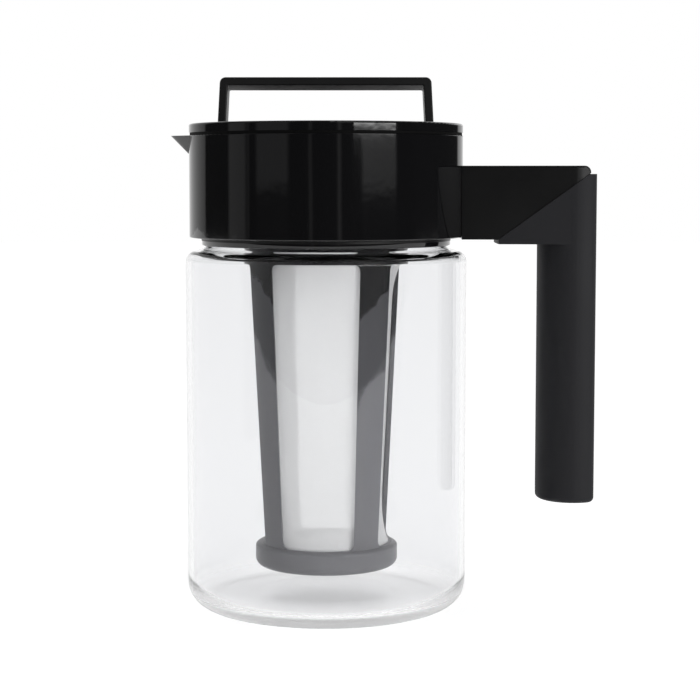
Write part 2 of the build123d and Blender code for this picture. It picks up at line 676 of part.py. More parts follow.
def window_cutter():
    """One tall window with rounded corners, cut through the +X side of the frame."""
    spread = math.sin(math.radians(WINDOW_HALF_ANGLE))
    top_half = frame_radius(window_top_z) * spread
    bottom_half = frame_radius(window_bottom_z) * spread
    outline = FilletPolyline(
        (-bottom_half, window_bottom_z), (bottom_half, window_bottom_z),
        (top_half, window_top_z), (-top_half, window_top_z), radius=WINDOW_ROUND, close=True)
    return extrude(Plane.YZ * make_face(outline.edges()), amount=frame_top_radius * 2)


def window_angle(index):
    """Plan angle of the middle of a window, halfway between two ribs."""
    pitch = 360 / WINDOW_COUNT
    return RIB_FIRST_ANGLE + (index + 0.5) * pitch


def make_filter_frame():
    """Conical frame: top band, four ribs and the rounded bumper ring."""
    bumper_radius = FRAME_FOOT_RADIUS + BUMPER_PROUD
    floor_bottom_z = window_bottom_z - FLOOR_THICKNESS
    frame = revolved([
        (frame_top_radius - FRAME_WALL, frame_top_z, 0),
        (frame_top_radius, frame_top_z, 0),
        (FRAME_FOOT_RADIUS, window_bottom_z, 0),
        (bumper_radius, window_bottom_z - BUMPER_SLOPE, BUMPER_TOP_ROUND),
        (bumper_radius, frame_bottom_z, BUMPER_ROUND),
        (BUMPER_BORE, frame_bottom_z, 0),
        (BUMPER_BORE, floor_bottom_z, 0),
        (floor_radius, floor_bottom_z, 0),
        (floor_radius, window_bottom_z, 0),
    ])
    for index in range(WINDOW_COUNT):
        frame -= Rot(0, 0, window_angle(index)) * window_cutter()
    return frame


def mesh_section(fraction):
    """Section of a mesh panel, round near the frame's ends and pulled flat between them."""
    z = window_bottom_z + fraction * (window_top_z + MESH_LAP - window_bottom_z)
    radius = frame_radius(z) - FRAME_WALL - SNUG / 2
    half_width = radius * math.sin(math.radians(WINDOW_HALF_ANGLE)) + MESH_LAP
    edge_x = math.sqrt(radius ** 2 - half_width ** 2)
    roundness = abs(2 * fraction - 1) ** MESH_TENSION
    middle_x = edge_x + roundness * (radius - edge_x) + (1 - roundness) * MESH_BULGE
    outer = ThreePointArc((edge_x, -half_width), (middle_x, 0), (edge_x, half_width))
    inner = ThreePointArc((edge_x - MESH_THICKNESS, half_width), (middle_x - MESH_THICKNESS, 0),
                          (edge_x - MESH_THICKNESS, -half_width))
    ends = [Line(outer @ 1, inner @ 0), Line(inner @ 1, outer @ 0)]
    return Pos(0, 0, z) * make_face([outer.edge(), ends[0].edge(), inner.edge(), ends[1].edge()])


def make_mesh_panel(index):
    """One mesh panel, lying inside its window and lapping behind the ribs."""
    fractions = [station / (MESH_STATIONS - 1) for station in range(MESH_STATIONS)]
    panel = loft([mesh_section(fraction) for fraction in fractions])
    return Rot(0, 0, window_angle(index)) * panel


def make_filter_floor():
    """Disc that closes the filter, with raised rings on its upper face."""
    bottom_z = window_bottom_z - FLOOR_THICKNESS
    floor = Pos(0, 0, (bottom_z + window_bottom_z) / 2) * Cylinder(
        floor_radius - SNUG, FLOOR_THICKNESS)
    for index in range(FLOOR_RING_COUNT):
        ring_radius = (index + 1) * floor_radius / (FLOOR_RING_COUNT + 1)
        floor += ring(ring_radius - FLOOR_RING_WIDTH / 2, ring_radius + FLOOR_RING_WIDTH / 2,
                      window_bottom_z - FLOOR_THICKNESS / 2, window_bottom_z + FLOOR_RING_HEIGHT)
    return floor


def write_parts():
    """Build every piece and write it to its own STEP file."""
    pieces = {
        "jar": make_jar(),
        "neck_gasket": make_neck_gasket(),
        "neck_ring": make_neck_ring(),
        "collar": make_collar(),
        "handle_core": make_handle_core(),
        "grip_sleeve": make_grip_sleeve(),
        "handle_screw": make_handle_screw(),
        "rim_seal": make_rim_seal(),
        "lid_cover": make_lid_cover(),
        "lid_plug": make_lid_plug(),
        "plug_gasket": make_plug_gasket(),
        "bail": make_bail(),
        "filter_gasket": make_filter_gasket(),
        "filter_collar": make_filter_collar(),
        "filter_frame": make_filter_frame(),
        "filter_floor": make_filter_floor(),
    }
    for index in range(WINDOW_COUNT):
        pieces[f"mesh_panel_{index + 1}"] = make_mesh_panel(index)
    os.makedirs("parts", exist_ok=True)
    for name, piece in pieces.items():
        export_step(piece, f"parts/{name}.step")


write_parts()
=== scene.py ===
"""Looks of a cold brew pitcher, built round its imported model.

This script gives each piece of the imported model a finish. It makes the pieces whose looks need more
than the plain solid anew, in the same place, and sets up a plain studio round the object.
"""

import logging
import math
from dataclasses import dataclass
from enum import Enum
from typing import Any, NamedTuple

import bmesh
import bpy
from mathutils import Matrix, Vector


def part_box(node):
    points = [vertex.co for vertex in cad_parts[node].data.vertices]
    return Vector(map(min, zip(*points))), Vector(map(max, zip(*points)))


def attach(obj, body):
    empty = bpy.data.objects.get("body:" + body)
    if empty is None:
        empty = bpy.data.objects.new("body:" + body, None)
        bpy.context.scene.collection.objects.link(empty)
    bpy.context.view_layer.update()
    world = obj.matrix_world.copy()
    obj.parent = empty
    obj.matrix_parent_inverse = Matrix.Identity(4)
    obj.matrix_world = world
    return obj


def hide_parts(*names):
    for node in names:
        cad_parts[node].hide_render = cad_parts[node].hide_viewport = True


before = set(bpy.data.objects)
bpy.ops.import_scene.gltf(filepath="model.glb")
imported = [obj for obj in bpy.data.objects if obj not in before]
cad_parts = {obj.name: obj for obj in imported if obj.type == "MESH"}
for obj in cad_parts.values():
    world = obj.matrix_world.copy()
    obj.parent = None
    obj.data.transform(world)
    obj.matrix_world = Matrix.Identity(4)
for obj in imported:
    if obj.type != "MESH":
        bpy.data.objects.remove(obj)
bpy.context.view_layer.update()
NODES: dict[str, bpy.types.Object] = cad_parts

LOG = logging.getLogger("pitcher")
MM = 0.001
MERGE = 0.001 * MM  # corners nearer than this are one
NEARLY_ZERO = 1e-9
Colour = tuple[float, float, float]
Triple = tuple[float, float, float]
Span = tuple[float, float]


class Body(Enum):
    """The rigid bodies that the new pieces ride on."""

    PITCHER = "pitcher"
    FILTER = "filter"


class Slot(Enum):
    """The record's material slots, by name."""

    CLEAR = "clear_plastic"
    GLOSS = "gloss_black"
    STEEL = "screw_steel"
    MESH = "filter_mesh"


class Shading:
    """A node tree with short calls for the nodes that the finishes use."""

    def __init__(self, owner: bpy.types.Material | bpy.types.World) -> None:
        """Start an empty tree.

        Args:
            owner: The material or the world that the tree belongs to.
        """
        owner.use_nodes = True
        self.owner = owner
        self.tree = owner.node_tree
        self.tree.nodes.clear()

    def node(self, kind: str, inputs: dict[Any, Any] | None = None,
             **properties: Any) -> bpy.types.Node:
        """Add a node.

        Args:
            kind: The node's type without its ShaderNode prefix.
            inputs: Input name or number to a value, or to a socket that is linked to it.
            **properties: Settings of the node itself.

        Returns:
            The new node.
        """
        made = self.tree.nodes.new("ShaderNode" + kind)
        for name, value in properties.items():
            setattr(made, name, value)
        for name, value in (inputs or {}).items():
            if isinstance(value, bpy.types.NodeSocket):
                self.tree.links.new(value, made.inputs[name])
            else:
                made.inputs[name].default_value = value
        return made

    def place(self) -> bpy.types.NodeSocket:
        """Return the socket of the object's own coordinates, which are metres in the part's frame."""
        return self.node("TexCoord").outputs["Object"]

    def parts(self, vector: bpy.types.NodeSocket) -> bpy.types.NodeOutputs:
        """Return the sockets of a vector's three parts."""
        return self.node("SeparateXYZ", {0: vector}).outputs

    def noise(self, scale: float, detail: float = 3.0,
              stretch: Triple = (1, 1, 1)) -> bpy.types.NodeSocket:
        """Return the value of a noise over the object.

        Args:
            scale: Features per metre.
            detail: Octaves of the noise.
            stretch: Scale along each axis before the noise.

        Returns:
            The noise's value socket.
        """
        mapped = self.node("Mapping", {"Vector": self.place(), "Scale": stretch})
        return self.node("TexNoise", {"Vector": mapped.outputs[0], "Scale": scale,
                                      "Detail": detail}).outputs["Fac"]

    def span(self, value: bpy.types.NodeSocket, low: float, high: float, from_low: float = 0.0,
             from_high: float = 1.0) -> bpy.types.NodeSocket:
        """Return a value mapped so that from_low gives low and from_high gives high, and clamped."""
        return self.node("MapRange", {"Value": value, "From Min": from_low, "From Max": from_high,
                                      "To Min": low, "To Max": high}).outputs[0]

    def maths(self, operation: str, first: Any, second: Any = 0.0) -> bpy.types.NodeSocket:
        """Return the result of a Math node on two values or sockets."""
        return self.node("Math", {0: first, 1: second}, operation=operation).outputs[0]

    def blend(self, share: bpy.types.NodeSocket, first: Any, second: Any) -> bpy.types.NodeSocket:
        """Return a colour between two, by the share of the second."""
        # A Mix node has its colours at inputs 6 and 7 and at output 2
        mixed = self.node("Mix", {0: share, 6: first, 7: second}, data_type="RGBA")
        return mixed.outputs[2]

    def mix(self, share: Any, first: bpy.types.NodeSocket,
            second: bpy.types.NodeSocket) -> bpy.types.NodeSocket:
        """Return a shader between two, by the share of the second."""
        return self.node("MixShader", {0: share, 1: first, 2: second}).outputs[0]

    def bump(self, height: bpy.types.NodeSocket, depth: float, strength: float = 1.0,
             below: bpy.types.NodeSocket | None = None) -> bpy.types.NodeSocket:
        """Return a normal that follows a height.

        Args:
            height: The height, from 0 to 1.
            depth: What a height of 1 stands for, in metres.
            strength: Share of the bump that is used.
            below: A normal that this bump is laid over.

        Returns:
            The normal's socket.
        """
        inputs = {"Height": height, "Distance": depth, "Strength": strength}
        if below:
            inputs["Normal"] = below
        return self.node("Bump", inputs).outputs[0]

    def surface(self, shader: bpy.types.NodeSocket) -> bpy.types.Material:
        """Finish a material's tree with a surface shader and return the material."""
        self.node("OutputMaterial", {"Surface": shader})
        return self.owner


def rgba(colour: Colour) -> tuple[float, float, float, float]:
    """Return a colour with full alpha."""
    return (*colour, 1.0)


def shaded(colour: Colour, factor: float) -> Colour:
    """Return a colour made lighter or darker by a factor."""
    return tuple(part * factor for part in colour)


@dataclass(frozen=True)
class Finish:
    """What every finish has: a name, a base colour and a roughness range."""

    name: str
    colour: Colour
    roughness: Span

    def material(self) -> bpy.types.Material:
        """Return the finish's material, made once."""
        made = bpy.data.materials.get(self.name)
        return made or self.build(Shading(bpy.data.materials.new(self.name)))

    def build(self, shading: Shading) -> bpy.types.Material:
        """Make the material. Each kind of finish has its own."""
        raise NotImplementedError

    def tone(self, shading: Shading, pattern: bpy.types.NodeSocket,
             change: float) -> bpy.types.NodeSocket:
        """Return the base colour, from darker to lighter by a share of itself, along a pattern."""
        return shading.blend(pattern, rgba(shaded(self.colour, 1 - change)),
                             rgba(shaded(self.colour, 1 + change)))


@dataclass(frozen=True)
class GlossPlastic(Finish):
    """Glossy moulded plastic, with a faint orange peel, slow waves and wiping marks."""

    index: float = 1.5
    peel: float = 0.008 * MM
    peel_scale: float = 260.0
    wave: float = 0.05 * MM
    wave_scale: float = 55.0
    wave_stretch: Triple = (1, 1, 0.7)
    wipe_scale: float = 45.0
    wipe_stretch: Triple = (1, 1, 0.25)
    wipe_span: Span = (0.35, 0.7)
    wipe_tone: float = 0.25

    def build(self, shading: Shading) -> bpy.types.Material:
        """Make the material.

        Args:
            shading: The empty node tree.

        Returns:
            The material.
        """
        wipes = shading.noise(self.wipe_scale, detail=4.0, stretch=self.wipe_stretch)
        slow = shading.noise(self.wave_scale, detail=0.0, stretch=self.wave_stretch)
        fine = shading.noise(self.peel_scale, detail=1.0)
        waves = shading.bump(slow, self.wave)
        skin = shading.node("BsdfPrincipled", {
            "Base Color": self.tone(shading, wipes, self.wipe_tone),
            "Roughness": shading.span(wipes, *self.roughness, *self.wipe_span),
            "IOR": self.index,
            "Normal": shading.bump(fine, self.peel, below=waves),
        })
        return shading.surface(skin.outputs[0])


@dataclass(frozen=True)
class SatinPlastic(Finish):
    """Spark-eroded satin plastic: a fine even grain that scatters the light."""

    index: float = 1.5
    specular: float = 0.5
    grain: float = 0.02 * MM
    grain_scale: float = 2600.0
    grain_share: float = 0.6
    cloud_scale: float = 30.0
    cloud_span: Span = (0.3, 0.7)
    cloud_tone: float = 0.12

    def build(self, shading: Shading) -> bpy.types.Material:
        """Make the material.

        Args:
            shading: The empty node tree.

        Returns:
            The material.
        """
        clouds = shading.noise(self.cloud_scale)
        grain = shading.noise(self.grain_scale, detail=2.0)
        skin = shading.node("BsdfPrincipled", {
            "Base Color": self.tone(shading, clouds, self.cloud_tone),
            "Roughness": shading.span(clouds, *self.roughness, *self.cloud_span),
            "IOR": self.index,
            "Specular IOR Level": self.specular,
            "Normal": shading.bump(grain, self.grain, self.grain_share),
        })
        return shading.surface(skin.outputs[0])


@dataclass(frozen=True)
class SoftRubber(Finish):
    """Soft-touch rubber, with a velvety edge sheen and a fine pebble."""

    index: float = 1.45
    specular: float = 0.5
    sheen: float = 0.15
    sheen_roughness: float = 0.4
    pebble: float = 0.03 * MM
    pebble_scale: float = 1800.0
    pebble_share: float = 0.5
    cloud_scale: float = 22.0
    cloud_stretch: Triple = (1, 1, 0.5)
    cloud_span: Span = (0.3, 0.7)
    cloud_tone: float = 0.1

    def build(self, shading: Shading) -> bpy.types.Material:
        """Make the material.

        Args:
            shading: The empty node tree.

        Returns:
            The material.
        """
        clouds = shading.noise(self.cloud_scale, detail=4.0, stretch=self.cloud_stretch)
        cells = shading.node("TexVoronoi", {"Vector": shading.place(), "Scale": self.pebble_scale})
        skin = shading.node("BsdfPrincipled", {
            "Base Color": self.tone(shading, clouds, self.cloud_tone),
            "Roughness": shading.span(clouds, *self.roughness, *self.cloud_span),
            "IOR": self.index,
            "Specular IOR Level": self.specular,
            "Sheen Weight": self.sheen,
            "Sheen Roughness": self.sheen_roughness,
            "Normal": shading.bump(cells.outputs["Distance"], self.pebble, self.pebble_share),
        })
        return shading.surface(skin.outputs[0])


@dataclass(frozen=True)
class Silicone(Finish):
    """Translucent silicone for the gaskets, a little cloudy."""

    index: float = 1.41
    cloudiness: float = 0.3
    depth: float = 0.8 * MM
    cloud_scale: float = 120.0
    cloud_tone: float = 0.08

    def build(self, shading: Shading) -> bpy.types.Material:
        """Make the material.

        Args:
            shading: The empty node tree.

        Returns:
            The material.
        """
        clouds = shading.noise(self.cloud_scale)
        skin = shading.node("BsdfPrincipled", {
            "Base Color": self.tone(shading, clouds, self.cloud_tone),
            "Roughness": shading.span(clouds, *self.roughness),
            "IOR": self.index,
            "Subsurface Weight": self.cloudiness,
            "Subsurface Scale": self.depth,
        })
        return shading.surface(skin.outputs[0])


@dataclass(frozen=True)
class TurnedSteel(Finish):
    """Plain stainless steel with the fine rings of a turned part."""

    ring_depth: float = 0.01 * MM
    ring_scale: float = 900.0
    ring_stretch: Triple = (0.05, 0.05, 1)
    ring_tone: float = 0.1

    def build(self, shading: Shading) -> bpy.types.Material:
        """Make the material.

        Args:
            shading: The empty node tree.

        Returns:
            The material.
        """
        rings = shading.noise(self.ring_scale, detail=2.0, stretch=self.ring_stretch)
        skin = shading.node("BsdfPrincipled", {
            "Base Color": self.tone(shading, rings, self.ring_tone),
            "Metallic": 1.0,
            "Roughness": shading.span(rings, *self.roughness),
            "Normal": shading.bump(rings, self.ring_depth),
        })
        return shading.surface(skin.outputs[0])


@dataclass(frozen=True)
class ClearPlastic(Finish):
    """Clear moulded copolyester, a little rippled, and cloudy at its foot.

    Lamps shine through it, and light what it holds.
    """

    index: float = 1.25
    ripple: float = 0.015 * MM
    ripple_scale: float = 14.0
    ripple_stretch: Triple = (1, 1, 0.4)
    ripple_share: float = 0.5
    ripple_tone: float = 0.01
    foot: Colour = (0.985, 0.985, 0.988)
    foot_roughness: float = 0.42
    foot_low: float = 3.0 * MM
    foot_high: float = 11.0 * MM

    def build(self, shading: Shading) -> bpy.types.Material:
        """Make the material.

        Args:
            shading: The empty node tree.

        Returns:
            The material.
        """
        ripple = shading.noise(self.ripple_scale, detail=2.0, stretch=self.ripple_stretch)
        height = shading.parts(shading.place())[2]
        foot = shading.span(height, 1.0, 0.0, self.foot_low, self.foot_high)
        cloud = shading.maths("MULTIPLY", foot, self.foot_roughness)
        even = shading.maths("MULTIPLY", ripple, shading.maths("SUBTRACT", 1.0, foot))
        body = self.tone(shading, ripple, self.ripple_tone)
        clear = shading.node("BsdfPrincipled", {
            "Base Color": shading.blend(foot, body, rgba(self.foot)),
            "Roughness": shading.maths("ADD", cloud, shading.span(ripple, *self.roughness)),
            "IOR": self.index,
            "Transmission Weight": 1.0,
            "Normal": shading.bump(even, self.ripple, self.ripple_share),
        })
        through = shading.node("BsdfTransparent")
        shadow = shading.node("LightPath").outputs["Is Shadow Ray"]
        return shading.surface(shading.mix(shadow, clear.outputs[0], through.outputs[0]))


@dataclass(frozen=True)
class RibPlastic(Finish):
    """Filter plastic: black and glossy near the lid, rougher and greyed by painted reflection lower
    down.

    The grey is painted reflection of the clear jar wall's haze, in two bands. Each band ends at a
    swaying line that rises from the object's middle to its sides.
    """

    index: float = 1.5
    specular: float = 0.12
    # Greys of painted reflection: the jar wall's haze as it lies over the ribs, not a colour of the
    # plastic
    painted_veil_grey: Colour = (0.134, 0.134, 0.141)
    painted_half_veil_grey: Colour = (0.048, 0.048, 0.052)
    upper_z: float = 94.2 * MM
    upper_slope: float = 1.2
    upper_blur: float = 0.7 * MM
    lower_z: float = 58.7 * MM
    lower_slope: float = 1.65
    lower_blur: float = 1.5 * MM
    edge_scale: float = 90.0
    edge_sway: float = 18.0 * MM
    grain: float = 0.01 * MM
    grain_scale: float = 900.0
    grain_share: float = 0.4

    def painted_veil_share(self, shading: Shading, height: float, slope: float,
             blur: float) -> bpy.types.NodeSocket:
        """Return the share of a band of painted reflection, which is 1 below its line and 0 above it.

        Args:
            shading: The node tree.
            height: The line's height in the middle.
            slope: How far it rises with each metre to the side.
            blur: How far the film fades to each side of the line.

        Returns:
            The share's socket.
        """
        across, _, up = shading.parts(shading.place())
        centred = shading.maths("SUBTRACT", shading.noise(self.edge_scale), 0.5)
        sway = shading.maths("MULTIPLY", centred, self.edge_sway)
        rise = shading.maths("MULTIPLY", shading.maths("ABSOLUTE", across), slope)
        level = shading.maths("SUBTRACT", shading.maths("ADD", up, sway), rise)
        return shading.span(level, 1.0, 0.0, height - blur, height + blur)

    def build(self, shading: Shading) -> bpy.types.Material:
        """Make the material.

        Args:
            shading: The empty node tree.

        Returns:
            The material.
        """
        # Painted reflection: the jar wall's haze greys the ribs below two swaying lines; the upper
        # line also sets the roughness
        upper_veil = self.painted_veil_share(shading, self.upper_z, self.upper_slope, self.upper_blur)
        lower_veil = self.painted_veil_share(shading, self.lower_z, self.lower_slope, self.lower_blur)
        upper_veiled_colour = shading.blend(upper_veil, rgba(self.colour), rgba(self.painted_half_veil_grey))
        grain = shading.noise(self.grain_scale, detail=2.0)
        skin = shading.node("BsdfPrincipled", {
            "Base Color": shading.blend(lower_veil, upper_veiled_colour, rgba(self.painted_veil_grey)),
            "Roughness": shading.span(upper_veil, *self.roughness),
            "IOR": self.index,
            "Specular IOR Level": self.specular,
            "Normal": shading.bump(grain, self.grain, self.grain_share),
        })
        return shading.surface(skin.outputs[0])


@dataclass(frozen=True)
class NylonMesh(Finish):
    """Fine woven nylon: threads both ways, with light passing between and through them.

    A share of the light goes straight through, more of it in the gaps and less on the threads.
    """

    index: float = 1.45
    threads: float = 4200.0  # a metre, each way
    thread_height: float = 0.05 * MM
    thread_share: float = 0.4
    thread_glow: float = 0.35
    open_share: float = 0.56
    open_in_gaps: float = 1.3
    open_on_threads: float = 0.85
    cloud_scale: float = 60.0
    cloud_stretch: Triple = (1, 1, 0.3)
    cloud_tone: float = 0.04

    def weave(self, shading: Shading) -> bpy.types.NodeSocket:
        """Return the height of the weave, from 0 in its gaps to 1 on its threads.

        Args:
            shading: The node tree.

        Returns:
            The height's socket.
        """
        turns = self.threads * math.tau
        ways = shading.parts(shading.node("TexCoord").outputs["UV"])[:2]
        across, along = (shading.maths("SINE", shading.maths("MULTIPLY", way, turns))
                         for way in ways)
        return shading.span(shading.maths("MAXIMUM", across, along), 0.0, 1.0, -1.0, 1.0)

    def build(self, shading: Shading) -> bpy.types.Material:
        """Make the material.

        Args:
            shading: The empty node tree.

        Returns:
            The material.
        """
        weave = self.weave(shading)
        clouds = shading.noise(self.cloud_scale, detail=4.0, stretch=self.cloud_stretch)
        cloth = shading.node("BsdfPrincipled", {
            "Base Color": self.tone(shading, clouds, self.cloud_tone),
            "Roughness": shading.span(weave, *self.roughness),
            "IOR": self.index,
            "Normal": shading.bump(weave, self.thread_height, self.thread_share),
        })
        lit = shading.node("BsdfTranslucent", {"Color": rgba(self.colour)})
        thread = shading.mix(self.thread_glow, cloth.outputs[0], lit.outputs[0])
        gap = shading.node("BsdfTransparent")
        openness = shading.span(weave, self.open_share * self.open_in_gaps,
                                self.open_share * self.open_on_threads)
        return shading.surface(shading.mix(openness, thread, gap.outputs[0]))


CLEAR = ClearPlastic("clear_copolyester", (0.893, 0.896, 0.904), (0.0, 0.02))
GLOSS_BLACK = GlossPlastic("gloss_black_plastic", (0.004, 0.004, 0.0045), (0.02, 0.06))
SATIN_BLACK = SatinPlastic("satin_black_plastic", (0.0035, 0.0035, 0.0037), (0.3, 0.38),
                           specular=0.28)
BAIL_BLACK = SatinPlastic("satin_black_bail", (0.007, 0.007, 0.0072), (0.36, 0.46), specular=0.25)
SOFT_CHARCOAL = SoftRubber("soft_charcoal_rubber", (0.0112, 0.0112, 0.0135), (0.55, 0.68),
                           sheen=0.05, specular=0.31)
SEAL_BLACK = SoftRubber("black_seal_rubber", (0.002, 0.002, 0.002), (0.6, 0.75), sheen=0.0,
                        specular=0.1)
SILICONE = Silicone("grey_silicone", (0.55, 0.56, 0.56), (0.35, 0.5))
SCREW_STEEL = TurnedSteel("screw_steel", (0.55, 0.55, 0.56), (0.22, 0.34))
RIB_PLASTIC = RibPlastic("filter_plastic", (0.005, 0.005, 0.0055), (0.12, 0.3))
MESH = NylonMesh("filter_nylon_mesh", (0.95, 0.95, 0.95), (0.45, 0.6))


def dress(node: str, finish: Finish) -> None:
    """Give a CAD node its finish, in every slot of its mesh.

    Args:
        node: The node's name.
        finish: The finish that it gets.
    """
    piece = NODES[node]
    material = finish.material()
    if not piece.material_slots:
        piece.data.materials.append(material)
    for slot in piece.material_slots:
        slot.material = material
    LOG.info("%s: dressed in %s", node, finish.name)


def make_piece(name: str, bm: bmesh.types.BMesh, finish: Finish, body: Body,
               sharp_angle: float = 35.0) -> bpy.types.Object:
    """Turn a bmesh into a dressed piece that rides on a body.

    Args:
        name: The piece's name.
        bm: Its mesh, which is freed.
        finish: The finish that it gets.
        body: The body that it rides on.
        sharp_angle: Edges that turn by more degrees than this are shaded sharp.

    Returns:
        The new piece.
    """
    mesh = bpy.data.meshes.new(name)
    bm.to_mesh(mesh)
    bm.free()
    # A copied CAD mesh brings its own normals, which would hide the shading that is set here
    copied_normals = mesh.attributes.get("custom_normal")
    if copied_normals:
        mesh.attributes.remove(copied_normals)
    mesh.shade_smooth()
    mesh.set_sharp_from_angle(angle=math.radians(sharp_angle))
    mesh.materials.clear()
    mesh.materials.append(finish.material())
    piece = bpy.data.objects.new(name, mesh)
    bpy.context.scene.collection.objects.link(piece)
    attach(piece, body.value)
    LOG.info("%s: %d faces in %s", name, len(mesh.polygons), finish.name)
    return piece


def weigh_normals(piece: bpy.types.Object) -> None:
    """Let a piece's large faces keep their shading, beside the small ones of its rounds."""
    weighted = piece.modifiers.new("large faces first", "WEIGHTED_NORMAL")
    weighted.keep_sharp = True


class Corner(NamedTuple):
    """A corner of an outline that is turned about the upright axis, in metres."""

    radius: float
    height: float
    rounding: float = 0.0


def turn_outline(outline: list[Corner], steps: int, arc_segments: int = 1) -> bmesh.types.BMesh:
    """Turn an outline about the upright axis.

    The outline is first a flat face, whose corners are rounded. Its edges are then spun, apart from
    the one along the axis.

    Args:
        outline: Its corners in order, which end on the axis or go round a ring.
        steps: Facets round the circle.
        arc_segments: Segments of each rounded corner.

    Returns:
        The mesh, with its seam and poles closed and its faces outward.
    """
    bm = bmesh.new()
    points = [bm.verts.new((corner.radius, 0, corner.height)) for corner in outline]
    bm.faces.new(points)
    for point, corner in zip(points, outline):
        if corner.rounding:
            ways = [edge.other_vert(point).co - point.co for edge in point.link_edges]
            reach = corner.rounding / math.tan(ways[0].angle(ways[1]) / 2)
            bmesh.ops.bevel(bm, geom=[point], offset=reach, affect="VERTICES",
                            segments=arc_segments, profile=0.5, material=-1)
    on_axis = [edge for edge in bm.edges if all(abs(end.co.x) < MERGE for end in edge.verts)]
    bmesh.ops.delete(bm, geom=bm.faces[:], context="FACES_ONLY")
    bmesh.ops.delete(bm, geom=on_axis, context="EDGES")
    bmesh.ops.spin(bm, geom=bm.verts[:] + bm.edges[:], cent=(0, 0, 0), axis=(0, 0, 1),
                   angle=math.tau, steps=steps, use_merge=True)
    bmesh.ops.remove_doubles(bm, verts=bm.verts, dist=MERGE)
    bmesh.ops.recalc_face_normals(bm, faces=bm.faces)
    return bm


@dataclass
class Jar:
    """The clear jar and the ring that seals it to the collar.

    The jar is turned from one outline, finer than the plain solid, so that it bends the light evenly.
    """

    finish: Finish = CLEAR
    gasket: Finish = SILICONE
    wall: float = 2.2 * MM
    neck_wall: float = 2.4 * MM
    floor_z: float = 4.4 * MM
    base_round: float = 10.0 * MM
    shoulder_z: float = 135.6 * MM
    shoulder_width: float = 8.2 * MM
    shoulder_slope: float = 15.0
    shoulder_round: float = 4.0 * MM
    neck_round: float = 2.5 * MM
    bead_drop: float = 10.5 * MM
    bead_reach: float = 0.9 * MM
    bead_half_height: float = 1.2 * MM
    punt_radius: float = 26.0 * MM
    punt_rise: float = 1.5 * MM
    punt_slope: float = 3.0 * MM
    gate_radius: float = 2.5 * MM
    gate_height: float = 0.5 * MM
    arc_segments: int = 12
    turns: int = 240

    def outline(self) -> list[Corner]:
        """Return the jar's section from the base's middle round to its inside.

        Returns:
            The corners, in order.
        """
        radius, _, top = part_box("jar")[1]
        rise = math.tan(math.radians(self.shoulder_slope))
        drop = self.wall / math.cos(math.radians(self.shoulder_slope))
        neck = radius - self.shoulder_width
        bead_z = top - self.bead_drop
        inner, neck_inner = radius - self.wall, neck - self.neck_wall
        outside = [
            Corner(0, self.punt_rise - self.gate_height),
            Corner(self.gate_radius, self.punt_rise - self.gate_height),
            Corner(self.gate_radius, self.punt_rise),
            Corner(self.punt_radius, self.punt_rise),
            Corner(self.punt_radius + self.punt_slope, 0),
            Corner(radius, 0, self.base_round),
            Corner(radius, self.shoulder_z, self.shoulder_round),
            Corner(neck, self.shoulder_z + self.shoulder_width * rise, self.neck_round),
            Corner(neck, bead_z - self.bead_half_height),
            Corner(neck + self.bead_reach, bead_z),
            Corner(neck, bead_z + self.bead_half_height),
            Corner(neck, top),
        ]
        inside = [
            Corner(neck_inner, top),
            Corner(neck_inner, self.shoulder_z + (radius - neck_inner) * rise - drop,
                   self.neck_round + self.wall),
            Corner(inner, self.shoulder_z + self.wall * rise - drop,
                   self.shoulder_round - self.wall),
            Corner(inner, self.floor_z, self.base_round - self.wall),
            Corner(self.punt_radius, self.floor_z),
            Corner(self.punt_radius - self.punt_slope, self.floor_z + self.punt_rise),
            Corner(0, self.floor_z + self.punt_rise),
        ]
        return outside + inside

    def jar(self) -> None:
        """Turn the jar from its outline."""
        bm = turn_outline(self.outline(), self.turns, self.arc_segments)
        turned = make_piece("turned_jar", bm, self.finish, Body.PITCHER)
        weigh_normals(turned)
        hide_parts("jar")

    def build(self) -> None:
        """Turn the jar and dress its gasket."""
        self.jar()
        dress("neck_gasket", self.gasket)


